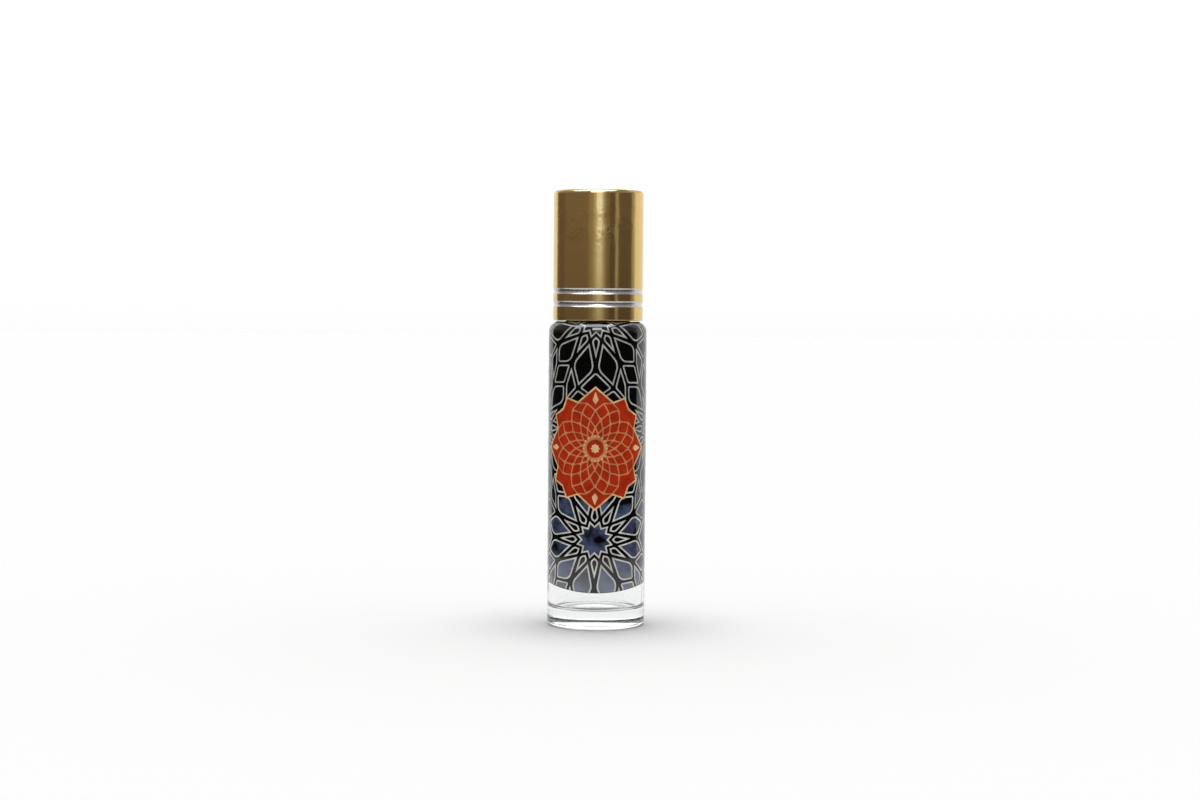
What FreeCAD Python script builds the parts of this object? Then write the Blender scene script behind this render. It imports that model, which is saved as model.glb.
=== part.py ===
# Roll-on perfume bottle: a thick-walled glass bottle in a printed film sleeve, a steel ball in a plastic
# housing pressed into the neck, and a screw cap with an aluminium shell over a threaded plastic inner cap.
# Millimetres, +Z up. The origin is the centre of the base, on the surface that the bottle stands on.
import FreeCAD
import Part
import math
import os

# Glass body
BODY_D = 20.0
BODY_H = 62.35  # from the standing surface to the flat top of the shoulder
BODY_WALL = 1.6
BASE_T = 3.6  # from the standing surface to the chamber's floor
HEEL_R = 0.8
SHOULDER_R = 2.05
SHOULDER_WALL = 1.8
SHOULDER_LAND = 0.1  # least flat between the shoulder's rounding and the neck's foot
CHAMBER_FLOOR_R = 1.0  # rounding where the chamber's wall meets its floor
CHAMBER_ROOF_R = 2.0  # rounding where the chamber's wall meets the inside of the shoulder
PUSH_UP_D = 12.4  # shallow dish under the base
PUSH_UP_H = 0.6

# Neck and thread
NECK_WALL = 1.35
NECK_FOOT_R = 0.4
NECK_RIM_R = 0.4
NECK_MOUTH_R = 0.8  # rounding where the chamber opens into the neck
THREAD_PITCH = 3.0
THREAD_DEPTH = 0.75
THREAD_ROOT = 0.25  # how far a ridge reaches into its wall behind its rounding
THREAD_CLEARANCE = 0.2  # between a crest and the wall that it faces
FLANK_CLEARANCE = 0.15  # between mating ridges
THREAD_START = 3.85  # from the shoulder's top to the middle of the ridge
NECK_THREAD_TURNS = 1.5
CAP_THREAD_TURNS = 1.25
RIM_LAND = 3.9  # plain neck between the end of the thread and the rim

# Printed film sleeve
FILM_T = 0.06
SLEEVE_BOTTOM = 7.6
SLEEVE_TOP_ANGLE = 80.0  # degrees up the shoulder's rounding

# Roller ball and its housing
BALL_D = 9.5
BALL_CLEARANCE = 0.1
BALL_ABOVE_RIM = 2.0  # from the neck's rim to the ball's centre
LIP_ABOVE_CENTRE = 1.5
LIP_T = 0.35
CUP_WALL = 0.8
PLUG_WALL = 0.55  # at the rim, where the socket is widest inside the neck
PLUG_L = 8.0
PLUG_BORE_WALL = 0.95  # around the oil's way in
PLUG_RELIEF = 0.12  # the plug's body stands back from its sealing lands
LAND_W = 0.8
LAND_PITCH = 2.2
LAND_COUNT = 3
FLANGE_T = 0.9
FLANGE_SETBACK = 0.3  # from the neck's outside
FEED_HOLE_D = 4.4
SEAT_T = 0.9

# Cap: inner cap, ball seal and metal shell
CAP_GAP = 0.15  # between the closed cap and the shoulder's top
INNER_CAP_WALL = 1.1
INNER_CAP_RECESS = 0.3  # its lower edge stands above the shell's
INNER_CAP_ROOF = 1.25
INNER_CAP_CHAMFER = 0.7
RIB_COUNT = 24
RIB_H = 0.45
RIB_W = 0.7
BOSS_H = 4.2
BOSS_WALL = 1.3
SEAL_GAP = 0.2  # between the closed seal and the ball
SEAL_HEAD_D = 7.0
SEAL_HEAD_T = 1.4
SEAL_STEM_D = 3.6
STEM_CLEARANCE = 0.05
STEM_END_CLEARANCE = 0.5
HEAD_CLEARANCE = 0.15
SHELL_WALL = 0.4
SHELL_ROOF = 0.45
SHELL_EDGE_R = 0.7
SHELL_INNER_EDGE_R = 0.25
SHELL_LIP_R = 0.25
GROOVE_W = 1.16
GROOVE_DEPTH = 0.18
GROOVE_ABOVE_LIP = 3.4  # from the shell's lower edge to the middle of the lower groove
GROOVE_PITCH = 2.6
GROOVE_COUNT = 2

# Radii, worked out from the ball outwards
BODY_R = BODY_D / 2
CHAMBER_R = BODY_R - BODY_WALL
BALL_R = BALL_D / 2
SOCKET_R = BALL_R + BALL_CLEARANCE
SOCKET_R_AT_RIM = math.sqrt(SOCKET_R**2 - BALL_ABOVE_RIM**2)
LIP_R = math.sqrt(SOCKET_R**2 - LIP_ABOVE_CENTRE**2)
CUP_R = SOCKET_R + CUP_WALL
NECK_BORE_R = SOCKET_R_AT_RIM + PLUG_WALL
NECK_R = NECK_BORE_R + NECK_WALL
NECK_FOOT_OUTER_R = NECK_R + NECK_FOOT_R
MOUTH_OUTER_R = NECK_BORE_R + NECK_MOUTH_R
INNER_CAP_BORE_R = NECK_R + THREAD_DEPTH + THREAD_CLEARANCE
INNER_CAP_R = INNER_CAP_BORE_R + INNER_CAP_WALL
SHELL_BORE_R = INNER_CAP_R + RIB_H
SHELL_R = SHELL_BORE_R + SHELL_WALL
STEM_R = SEAL_STEM_D / 2
BOSS_BORE_R = STEM_R + STEM_CLEARANCE
BOSS_R = BOSS_BORE_R + BOSS_WALL

# Roundings that their walls limit
SHOULDER_ARC_R = min(SHOULDER_R, BODY_R - NECK_FOOT_OUTER_R - SHOULDER_LAND)
CHAMBER_ROOF_ARC_R = min(CHAMBER_ROOF_R, CHAMBER_R - MOUTH_OUTER_R - SHOULDER_LAND)

# Rounding of both ridges, which lie half a pitch apart: the size that leaves their flanks clear
RIDGE_OVERLAP = THREAD_DEPTH - THREAD_CLEARANCE
RIDGE_R = ((THREAD_PITCH / 2) ** 2 + RIDGE_OVERLAP**2 - FLANK_CLEARANCE**2) / (
    4 * (RIDGE_OVERLAP + FLANK_CLEARANCE)
)

# Heights, worked out from the base upwards
SHOULDER_TANGENT_Z = BODY_H - SHOULDER_ARC_R
CHAMBER_ROOF_Z = BODY_H - SHOULDER_WALL
THREAD_Z = BODY_H + THREAD_START
RIM_Z = THREAD_Z + NECK_THREAD_TURNS * THREAD_PITCH + RIM_LAND
PLUG_Z = RIM_Z - PLUG_L
BALL_Z = RIM_Z + BALL_ABOVE_RIM
LIP_Z = BALL_Z + LIP_ABOVE_CENTRE
SEAL_Z = BALL_Z + BALL_R + SEAL_GAP
SEAL_TOP_Z = SEAL_Z + SEAL_HEAD_T
BOSS_Z = SEAL_TOP_Z + HEAD_CLEARANCE
ROOF_Z = BOSS_Z + BOSS_H
STEM_TOP_Z = ROOF_Z - STEM_END_CLEARANCE
SHELL_ROOF_Z = ROOF_Z + INNER_CAP_ROOF
CAP_TOP_Z = SHELL_ROOF_Z + SHELL_ROOF
CAP_Z = BODY_H + CAP_GAP
INNER_CAP_Z = CAP_Z + INNER_CAP_RECESS

ORIGIN = FreeCAD.Vector(0, 0, 0)
UP = FreeCAD.Vector(0, 0, 1)


def at(radius, height):
    """A point of a turned profile."""
    return FreeCAD.Vector(radius, 0, height)


def around(radius, height, size, angle):
    """A point of a circle about (radius, height), at an angle in degrees from the outward direction."""
    turn = math.radians(angle)
    return at(radius + size * math.cos(turn), height + size * math.sin(turn))


def arc(radius, height, size, start, end):
    """The middle and end points of an arc about (radius, height), between two angles in degrees."""
    return around(radius, height, size, (start + end) / 2), around(radius, height, size, end)


def outline(start, *steps):
    """A closed wire. A step is the next point, or the middle and end points of an arc."""
    edges = []
    here = start
    for step in steps:
        if isinstance(step, tuple):
            middle, end = step
            edges.append(Part.Arc(here, middle, end).toShape())
        else:
            end = step
            edges.append(Part.LineSegment(here, end).toShape())
        here = end
    edges.append(Part.LineSegment(here, start).toShape())
    return Part.Wire(edges)


def lathe(start, *steps):
    """A solid of revolution about the bottle's axis."""
    return Part.Face(outline(start, *steps)).revolve(ORIGIN, UP, 360)


def thread_ridge(wall_r, crest_r, height, turns):
    """A right-handed ridge with a round crest, rooted in the wall that it stands on."""
    inwards = math.copysign(1, wall_r - crest_r)
    middle_r = crest_r + inwards * RIDGE_R
    root_r = middle_r + inwards * THREAD_ROOT
    section = outline(
        at(root_r, -RIDGE_R),
        at(middle_r, -RIDGE_R),
        (at(crest_r, 0), at(middle_r, RIDGE_R)),
        at(root_r, RIDGE_R),
    )
    helix = Part.makeHelix(THREAD_PITCH, turns * THREAD_PITCH, middle_r)
    ridge = Part.Wire(helix.Edges).makePipeShell([section], True, True)
    ridge.translate(at(0, height))
    return ridge


def thread_end(turns):
    """A ball that rounds off the neck's ridge, so many turns along it."""
    setback = 0.03  # keeps the ball's edge inside the end of the ridge
    ball = Part.makeSphere(RIDGE_R - setback, at(NECK_R + THREAD_DEPTH - RIDGE_R, THREAD_Z))
    ball.rotate(ORIGIN, UP, 360 * turns)
    ball.translate(at(0, turns * THREAD_PITCH))
    return ball


def glass_bottle():
    push_up_r = PUSH_UP_D / 2
    push_up_arc_r = (push_up_r**2 + PUSH_UP_H**2) / (2 * PUSH_UP_H)
    push_up_edge = math.degrees(math.acos(push_up_r / push_up_arc_r))
    glass = lathe(
        at(0, PUSH_UP_H),
        arc(0, PUSH_UP_H - push_up_arc_r, push_up_arc_r, 90, push_up_edge),
        at(BODY_R - HEEL_R, 0),
        arc(BODY_R - HEEL_R, HEEL_R, HEEL_R, -90, 0),
        at(BODY_R, SHOULDER_TANGENT_Z),
        arc(BODY_R - SHOULDER_ARC_R, SHOULDER_TANGENT_Z, SHOULDER_ARC_R, 0, 90),
        at(NECK_FOOT_OUTER_R, BODY_H),
        arc(NECK_FOOT_OUTER_R, BODY_H + NECK_FOOT_R, NECK_FOOT_R, 270, 180),
        at(NECK_R, RIM_Z - NECK_RIM_R),
        arc(NECK_R - NECK_RIM_R, RIM_Z - NECK_RIM_R, NECK_RIM_R, 0, 90),
        at(NECK_BORE_R, RIM_Z),
        at(NECK_BORE_R, CHAMBER_ROOF_Z + NECK_MOUTH_R),
        arc(MOUTH_OUTER_R, CHAMBER_ROOF_Z + NECK_MOUTH_R, NECK_MOUTH_R, 180, 270),
        at(CHAMBER_R - CHAMBER_ROOF_ARC_R, CHAMBER_ROOF_Z),
        arc(CHAMBER_R - CHAMBER_ROOF_ARC_R, CHAMBER_ROOF_Z - CHAMBER_ROOF_ARC_R, CHAMBER_ROOF_ARC_R, 90, 0),
        at(CHAMBER_R, BASE_T + CHAMBER_FLOOR_R),
        arc(CHAMBER_R - CHAMBER_FLOOR_R, BASE_T + CHAMBER_FLOOR_R, CHAMBER_FLOOR_R, 0, -90),
        at(0, BASE_T),
    )
    ridge = thread_ridge(NECK_R, NECK_R + THREAD_DEPTH, THREAD_Z, NECK_THREAD_TURNS)
    return glass.fuse([ridge, thread_end(0), thread_end(NECK_THREAD_TURNS)])


def printed_sleeve():
    centre_r = BODY_R - SHOULDER_ARC_R
    outer_arc_r = SHOULDER_ARC_R + FILM_T
    return lathe(
        at(BODY_R, SLEEVE_BOTTOM),
        at(BODY_R, SHOULDER_TANGENT_Z),
        arc(centre_r, SHOULDER_TANGENT_Z, SHOULDER_ARC_R, 0, SLEEVE_TOP_ANGLE),
        around(centre_r, SHOULDER_TANGENT_Z, outer_arc_r, SLEEVE_TOP_ANGLE),
        arc(centre_r, SHOULDER_TANGENT_Z, outer_arc_r, SLEEVE_TOP_ANGLE, 0),
        at(BODY_R + FILM_T, SLEEVE_BOTTOM),
    )


def roller_housing():
    feed_r = FEED_HOLE_D / 2
    plug_r = NECK_BORE_R - PLUG_RELIEF
    plug_bore_r = NECK_BORE_R - PLUG_BORE_WALL
    flange_r = NECK_R - FLANGE_SETBACK
    seat_depth = math.sqrt(SOCKET_R**2 - feed_r**2)
    seat_under_z = BALL_Z - seat_depth - SEAT_T
    cone_h = plug_bore_r - feed_r  # the seat's underside slopes at 45 degrees
    draw_in = CUP_R - LIP_R - LIP_T
    cup_arc_r = (draw_in**2 + LIP_ABOVE_CENTRE**2) / (2 * draw_in)
    cup_arc_end = math.degrees(math.asin(LIP_ABOVE_CENTRE / cup_arc_r))
    lip_angle = math.degrees(math.asin(LIP_ABOVE_CENTRE / SOCKET_R))
    seat_angle = -math.degrees(math.asin(seat_depth / SOCKET_R))
    housing = lathe(
        at(plug_bore_r, PLUG_Z),
        at(plug_r, PLUG_Z),
        at(plug_r, RIM_Z),
        at(flange_r, RIM_Z),
        at(flange_r, RIM_Z + FLANGE_T),
        at(CUP_R, RIM_Z + FLANGE_T),
        at(CUP_R, BALL_Z),
        arc(CUP_R - cup_arc_r, BALL_Z, cup_arc_r, 0, cup_arc_end),
        at(LIP_R, LIP_Z),
        arc(0, BALL_Z, SOCKET_R, lip_angle, seat_angle),
        at(feed_r, seat_under_z),
        at(plug_bore_r, seat_under_z - cone_h),
    )
    land_root_r = (plug_r + plug_bore_r) / 2
    lands = []
    for index in range(LAND_COUNT):
        low_z = PLUG_Z + LAND_W + index * LAND_PITCH
        high_z = low_z + LAND_W
        lands.append(
            lathe(
                at(land_root_r, low_z),
                at(NECK_BORE_R, low_z),
                at(NECK_BORE_R, high_z),
                at(land_root_r, high_z),
            )
        )
    return housing.fuse(lands)


def roller_ball():
    return Part.makeSphere(BALL_R, at(0, BALL_Z))


def inner_cap():
    rib_top_z = SHELL_ROOF_Z - INNER_CAP_CHAMFER
    cap = lathe(
        at(INNER_CAP_BORE_R, INNER_CAP_Z),
        at(INNER_CAP_R, INNER_CAP_Z),
        at(INNER_CAP_R, rib_top_z),
        at(INNER_CAP_R - INNER_CAP_CHAMFER, SHELL_ROOF_Z),
        at(0, SHELL_ROOF_Z),
        at(0, ROOF_Z),
        at(BOSS_BORE_R, ROOF_Z),
        at(BOSS_BORE_R, BOSS_Z),
        at(BOSS_R, BOSS_Z),
        at(BOSS_R, ROOF_Z),
        at(INNER_CAP_BORE_R, ROOF_Z),
    )
    rib_h = rib_top_z - INNER_CAP_Z
    rib_root_r = INNER_CAP_R - INNER_CAP_WALL / 2
    rib_corner = FreeCAD.Vector(rib_root_r, -RIB_W / 2, INNER_CAP_Z)
    rib = Part.makeBox(SHELL_R - rib_root_r, RIB_W, rib_h, rib_corner)
    rib = rib.common(Part.makeCylinder(SHELL_BORE_R, rib_h, at(0, INNER_CAP_Z)))
    ribs = []
    for index in range(RIB_COUNT):
        ribs.append(rib.rotated(ORIGIN, UP, index * 360 / RIB_COUNT))
    crest_r = INNER_CAP_BORE_R - THREAD_DEPTH
    ridge_z = THREAD_Z - THREAD_PITCH / 2  # midway between the turns on the neck
    ridge = thread_ridge(INNER_CAP_BORE_R, crest_r, ridge_z, CAP_THREAD_TURNS)
    return cap.fuse(ribs + [ridge])


def ball_seal():
    head_r = SEAL_HEAD_D / 2
    return lathe(
        at(0, SEAL_Z),
        at(head_r, SEAL_Z),
        at(head_r, SEAL_TOP_Z),
        at(STEM_R, SEAL_TOP_Z),
        at(STEM_R, STEM_TOP_Z),
        at(0, STEM_TOP_Z),
    )


def cap_shell():
    edge_r = SHELL_R - SHELL_EDGE_R
    edge_z = CAP_TOP_Z - SHELL_EDGE_R
    inner_edge_r = SHELL_BORE_R - SHELL_INNER_EDGE_R
    shell = lathe(
        at(SHELL_BORE_R, CAP_Z),
        at(SHELL_R - SHELL_LIP_R, CAP_Z),
        arc(SHELL_R - SHELL_LIP_R, CAP_Z + SHELL_LIP_R, SHELL_LIP_R, -90, 0),
        at(SHELL_R, edge_z),
        arc(edge_r, edge_z, SHELL_EDGE_R, 0, 90),
        at(0, CAP_TOP_Z),
        at(0, SHELL_ROOF_Z),
        at(inner_edge_r, SHELL_ROOF_Z),
        arc(inner_edge_r, SHELL_ROOF_Z - SHELL_INNER_EDGE_R, SHELL_INNER_EDGE_R, 90, 0),
    )
    groove_arc_r = ((GROOVE_W / 2) ** 2 + GROOVE_DEPTH**2) / (2 * GROOVE_DEPTH)
    for index in range(GROOVE_COUNT):
        groove_z = CAP_Z + GROOVE_ABOVE_LIP + index * GROOVE_PITCH
        cutter = Part.makeTorus(SHELL_R - GROOVE_DEPTH + groove_arc_r, groove_arc_r, at(0, groove_z))
        shell = shell.cut(cutter)
    return shell


PIECES = (glass_bottle, printed_sleeve, roller_housing, roller_ball, inner_cap, ball_seal, cap_shell)


def main():
    os.makedirs("parts", exist_ok=True)
    for make in PIECES:
        shape = make()
        shape.exportStep(f"parts/{make.__name__}.step")
        box = shape.optimalBoundingBox(False)
        print(
            f"{make.__name__}: {len(shape.Solids)} solid, valid {shape.isValid()}, {shape.Volume:.2f} mm3, "
            f"radius {box.XMax:.3f}, from {box.ZMin:.3f} to {box.ZMax:.3f}"
        )


main()
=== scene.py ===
# %% [markdown]
# # A roll-on perfume bottle
# The bottle is a slim glass cylinder in a dark printed film, closed by a gold aluminium screw cap. Its
# solids come from CAD and arrive as a fixed frame: metres, +Z up, the front of the print towards -Y.
# Blender adds what CAD leaves out, which is the layers of print, the finishes, the light and the camera.
# The frame is loaded first, so that each new piece can take its size and place from the solids.

# %% Load the frame
import math

import bpy
from mathutils import Matrix, Vector


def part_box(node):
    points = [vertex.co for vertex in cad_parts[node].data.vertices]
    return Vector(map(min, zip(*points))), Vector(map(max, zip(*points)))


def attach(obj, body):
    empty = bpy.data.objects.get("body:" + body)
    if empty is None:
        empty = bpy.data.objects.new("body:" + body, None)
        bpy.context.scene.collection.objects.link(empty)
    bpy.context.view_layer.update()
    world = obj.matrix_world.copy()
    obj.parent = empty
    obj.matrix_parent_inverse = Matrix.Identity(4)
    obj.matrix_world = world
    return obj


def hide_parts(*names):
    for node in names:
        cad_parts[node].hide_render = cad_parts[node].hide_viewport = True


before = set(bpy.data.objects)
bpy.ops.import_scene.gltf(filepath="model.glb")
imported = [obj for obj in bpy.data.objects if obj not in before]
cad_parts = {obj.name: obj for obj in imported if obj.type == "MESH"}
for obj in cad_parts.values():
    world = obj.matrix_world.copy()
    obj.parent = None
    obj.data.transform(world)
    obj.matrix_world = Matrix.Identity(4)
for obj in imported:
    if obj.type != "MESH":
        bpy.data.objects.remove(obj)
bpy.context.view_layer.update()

MM = 0.001
for node_name in sorted(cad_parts):
    low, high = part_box(node_name)
    print(f"{node_name}: {(high.x - low.x) / MM:.2f} mm wide, z {low.z / MM:.2f} to {high.z / MM:.2f} mm")

# %% [markdown]
# ## The camera
# The photograph was taken from the front. A camera could be placed by eye, but the bottle's round edges
# settle it: the cap's two grooves look straight, so the camera is level with them, and the base looks round
# from above, so the camera is near, about five bottle heights away. The lens length then follows from the
# bottle's width in pixels, and a lean of about half a degree is the camera's roll.

# %% Set the camera
PICTURE_W = 1200  # pixels
LENS_PX = 2118  # focal length in pixels of that picture
SENSOR_W = 36.0  # millimetres
CAMERA_AWAY = 435 * MM  # from the bottle's axis, measured level
CAMERA_UP = 66 * MM
AIM = Vector((0.56, 0, 46.2)) * MM
ROLL = math.radians(0.45)

camera_data = bpy.data.cameras.new("front_camera")
camera_data.sensor_width = SENSOR_W
camera_data.lens = LENS_PX / PICTURE_W * SENSOR_W
camera = bpy.data.objects.new("front_camera", camera_data)
camera.location = Vector((AIM.x, -CAMERA_AWAY, CAMERA_UP))
camera.rotation_euler = (AIM - camera.location).to_track_quat("-Z", "Y").to_euler()
camera.rotation_euler.rotate_axis("Z", ROLL)
bpy.context.scene.collection.objects.link(camera)
bpy.context.scene.camera = camera
bpy.context.scene.view_settings.view_transform = "Standard"
print(f"camera lens {camera_data.lens:.1f} mm, {CAMERA_AWAY / MM:.0f} mm away")

# %% [markdown]
# ## One helper for nodes, one for colour
# Every finish below is a small node tree. Adding a node, setting its options and joining its sockets is the
# same work each time, so one function does it. Colours are picked as sRGB hex values, as on a screen, and
# shaders count in linear light, so one function turns the first into the second.

# %% Add a node, read a colour
def linear(code):
    """The linear colour of an sRGB hex value."""
    shares = [int(code[place : place + 2], 16) / 255 for place in (1, 3, 5)]
    return [s / 12.92 if s <= 0.04045 else ((s + 0.055) / 1.055) ** 2.4 for s in shares] + [1.0]


def add(tree, kind, sockets=(), **options):
    """Adds a node with its options; each socket gets a value, or a link from another node's output."""
    node = tree.nodes.new(kind)
    for option, value in options.items():
        setattr(node, option, value)
    for socket, value in dict(sockets).items():
        if isinstance(value, bpy.types.NodeSocket):
            tree.links.new(value, node.inputs[socket])
        else:
            node.inputs[socket].default_value = value
    return node


def empty_material(name):
    """A material with nothing in its tree."""
    material = bpy.data.materials.new(name)
    material.use_nodes = True
    material.node_tree.nodes.clear()
    return material


print("white is", [round(c, 3) for c in linear("#FFFFFF")])

# %% [markdown]
# ## Drawing a line and turning it
# Bottles, caps and films are turned shapes: one outline, swept round an axis. By hand, a single vertex is
# extruded from point to point, and the line is spun. The same line, closed and filled, also starts each
# flat cell of the print further down, so drawing it is a helper of its own. With no window, spin turns the
# opposite way to its angle, so the helper gives it the angle with the other sign.

# %% Trace a line, spin it
WELD = 0.0002 * MM  # vertices closer than this become one


def rest_all():
    """Leaves edit mode and deselects everything."""
    if bpy.context.mode != "OBJECT":
        bpy.ops.object.mode_set(mode="OBJECT")
    bpy.ops.object.select_all(action="DESELECT")


def trace(name, points):
    """A line through the points: one vertex, extruded from each point to the next. Stays in edit mode."""
    rest_all()
    bpy.ops.mesh.primitive_plane_add(size=MM)
    piece = bpy.context.object
    piece.name = name
    piece.data.name = name
    bpy.ops.object.mode_set(mode="EDIT")
    bpy.ops.mesh.select_mode(type="VERT")
    bpy.ops.mesh.select_all(action="SELECT")
    bpy.ops.mesh.merge(type="CENTER")
    bpy.ops.transform.translate(value=points[0])
    for start, end in zip(points, points[1:]):
        bpy.ops.mesh.extrude_vertices_move(TRANSFORM_OT_translate={"value": end - start})
    return piece


def spin(piece, turn, steps):
    """Spins the traced line about the bottle's axis and closes the seam."""
    bpy.ops.mesh.select_all(action="SELECT")
    bpy.ops.mesh.spin(steps=steps, angle=-turn, center=(0, 0, 0), axis=(0, 0, 1))
    bpy.ops.mesh.select_all(action="SELECT")
    bpy.ops.mesh.remove_doubles(threshold=WELD)
    bpy.ops.mesh.normals_make_consistent(inside=False)
    bpy.ops.object.mode_set(mode="OBJECT")
    print(f"{piece.name}: {len(piece.data.polygons)} faces")


print(f"vertices within {WELD / MM:.4f} mm are welded")

# %% [markdown]
# ## The stage
# The photograph's ground is white all over, with one soft grey shadow around the base. A plain white floor
# under a white sky gives just that: the sky is hidden from the floor only where the bottle stands. The sky
# is brighter high up behind the bottle than in front, which deepens the shadow on the near side, as in the
# photograph. Light that the clear base gathers would wash out the darkest rim of the shadow, so painted
# shade greys the floor's colour where something stands close by. Seen through the glass, the floor is white
# but for a painted shadow on the patch on which the base stands.

# %% Light a white sky
BACK_LIGHT = 1.2  # how much brighter the sky is high behind the bottle, and darker high in front
sky = bpy.data.worlds.new("white_sky")
bpy.context.scene.world = sky
sky.use_nodes = True
sky.node_tree.nodes.clear()
tree = sky.node_tree
direction = add(tree, "ShaderNodeTexCoord").outputs["Generated"]
way = add(tree, "ShaderNodeSeparateXYZ", {"Vector": direction})
behind = add(
    tree, "ShaderNodeMath", {0: way.outputs["Y"], 1: way.outputs["Z"]}, operation="MULTIPLY"
).outputs[0]
glow = add(tree, "ShaderNodeMath", {0: behind, 1: BACK_LIGHT, 2: 1.0}, operation="MULTIPLY_ADD").outputs[0]
sky_light = add(tree, "ShaderNodeBackground", {"Color": linear("#FFFFFF"), "Strength": glow})
add(tree, "ShaderNodeOutputWorld", {"Surface": sky_light.outputs[0]})
print(f"halfway up behind the bottle the sky's brightness is {1 + BACK_LIGHT / 2:.1f}")

# %% Lay the floor
FLOOR_W = 8.0  # metres
CONTACT_REACH = 25 * MM  # painted shade greys the floor where something stands as close as this
CONTACT_SAMPLES = 8
PAINTED_SHADOW_FROM, PAINTED_SHADOW_TO = 5.5 * MM, 9 * MM  # radii between which the painted shadow under the base fades out
PAINTED_SHADOW_LIGHT = 0.2  # how much of the floor's light the painted shadow under the base leaves
rest_all()
bpy.ops.mesh.primitive_plane_add(size=FLOOR_W)
floor = bpy.context.object
floor.name = "floor"
paper = empty_material("white_paper")  # gives the eye white ground, a real shadow and painted shade
tree = paper.node_tree
# painted shade: the floor's colour turns grey where ambient occlusion finds something close
near = add(
    tree, "ShaderNodeAmbientOcclusion", {"Distance": CONTACT_REACH}, samples=CONTACT_SAMPLES
).outputs["AO"]
tone = add(
    tree, "ShaderNodeMix", {0: near, 6: linear("#A8A8A8"), 7: linear("#FEFEFE")}, data_type="RGBA"
).outputs[2]
shaded = add(tree, "ShaderNodeBsdfDiffuse", {"Color": tone}).outputs[0]
# painted shadow: seen through the glass, the floor is dark on a patch under the base
place = add(tree, "ShaderNodeTexCoord").outputs["Object"]
radius = add(tree, "ShaderNodeVectorMath", {0: place}, operation="LENGTH").outputs["Value"]
painted_shadow_span = {"Value": radius, "From Min": PAINTED_SHADOW_FROM, "From Max": PAINTED_SHADOW_TO, "To Min": PAINTED_SHADOW_LIGHT}
painted_shadow_fade = add(tree, "ShaderNodeMapRange", painted_shadow_span).outputs[0]
white = add(tree, "ShaderNodeEmission", {"Color": linear("#F4F5F4"), "Strength": painted_shadow_fade}).outputs[0]
ray = add(tree, "ShaderNodeLightPath").outputs["Is Transmission Ray"]
seen = add(tree, "ShaderNodeMixShader", {0: ray, 1: shaded, 2: white})
add(tree, "ShaderNodeOutputMaterial", {"Surface": seen.outputs[0]})
floor.data.materials.append(paper)
print(f"floor {floor.dimensions.x:.0f} m across")

# %% [markdown]
# ## What the gloss reflects
# Polished metal and gloss film show their surroundings, and in an all-white room they look like white
# paper. So a studio stands cards round the product. These are seen in reflections only. A black sheet on
# the table keeps the film black. Grey walls beyond it darken the cap, and the lighter cards between them
# are the cap's streaks. Since the cap's side is upright, it mirrors only a low band of each wall. What lies
# below that band is mirrored by the film and is black, and what lies above it is mirrored by the grooves'
# lower edges and is lighter. Behind the bottle only the low part of the white room is left open, which the
# rims of cap and film mirror. Under a black roof hang two softboxes, and a third leans in from the front.
# The front ones are the white smears on the film's shoulder and the light on the cap's edge, and the back
# one is what the top of the cap shows to someone who looks down on it.

# %% Stand the cards
CARD_AWAY = 0.72  # metres from the bottle to the upright cards
FOOT, HEAD, TOP = 0.050, 0.17, 0.95  # heights of the band that the cap mirrors, and of the walls
STREAK_TOP, STREAK_HEAD = 0.104, 0.25  # the middle streak is brighter between these heights
BACK_FOOT = 0.25
SHEET_FROM = 0.12
ROOF_Z = 1.3
SOFTBOX_LINE = [(0.62, 0.28), (0.52, 0.62)]  # the softbox in front leans towards the bottle
LEFT_END, RIGHT_END = -129, 106  # angles to the right of the camera
STREAK, FLANKS = (-5, 10), (-13, 17)
CARD_STEPS = 48
GREY, BLACK = 0.33, 0.03  # brightness of grey and black cards
WARM, WHITE, DAYLIGHT, COOL = "#FFE9E4", "#FFFFFF", "#EEF2FF", "#C6D7FF"


def light_up(card, brightness, tint):
    """Lets a card shine in reflections alone, where it gives the eye one even streak or smear."""
    paint = empty_material(card.name)
    glow = add(paint.node_tree, "ShaderNodeEmission", {"Color": linear(tint), "Strength": brightness})
    add(paint.node_tree, "ShaderNodeOutputMaterial", {"Surface": glow.outputs[0]})
    card.data.materials.append(paint)
    card.visible_camera = False
    card.visible_diffuse = False
    card.visible_shadow = False
    card.visible_transmission = False


def stand_card(name, start, end, brightness, line, tint):
    """Spins a card's line of (away, height) about the bottle, between two angles right of the camera."""
    first = math.radians(start - 90)
    toward = Vector((math.cos(first), math.sin(first), 0))
    card = trace(name, [toward * away + Vector((0, 0, height)) for away, height in line])
    spin(card, math.radians(end - start), CARD_STEPS)
    light_up(card, brightness, tint)


def standing(low, high):
    """The line of a card that stands straight between two heights."""
    return [(CARD_AWAY, low), (CARD_AWAY, high)]


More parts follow.
